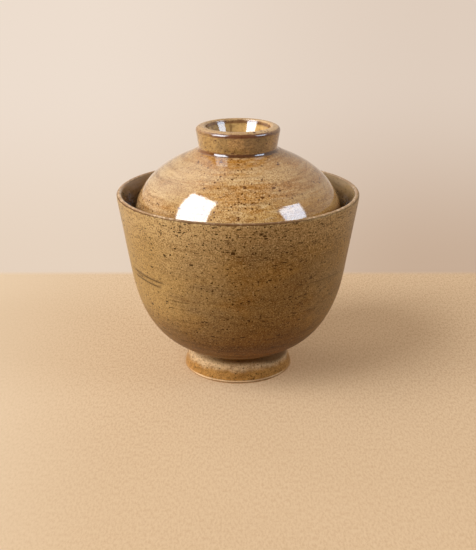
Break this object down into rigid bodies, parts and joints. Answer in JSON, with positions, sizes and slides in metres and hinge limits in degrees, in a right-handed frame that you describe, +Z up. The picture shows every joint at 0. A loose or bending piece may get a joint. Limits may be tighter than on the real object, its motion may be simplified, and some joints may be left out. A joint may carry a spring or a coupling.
{
  "type": "lidded soup bowl",
  "caption": "Glazed stoneware soup bowl on a flared ring foot, with a domed lid that drops inside the rim and lifts off by its ring knob.",
  "frame": {"origin": "centre of the foot ring's standing face, on the turning axis", "axes": "+Z up along the turning axis; the pieces are round, so X and Y are free, with -Y towards the viewer"},
  "size_m": [0.115, 0.115, 0.1199],
  "materials": {
    "bowl_glaze": "satin olive-tan glaze with dark iron specks",
    "lid_glaze": "high-gloss honey amber glaze, darker where it pools"
  },
  "bodies": {
    "bowl": {"bowl": "bowl_glaze"},
    "lid": {"lid": "lid_glaze"}
  },
  "joints": [
    {"name": "lid_lift", "type": "slide", "parent": "bowl", "child": "lid", "axis": [0, 0, 1], "range_m": [0, 0.08]}
  ]
}
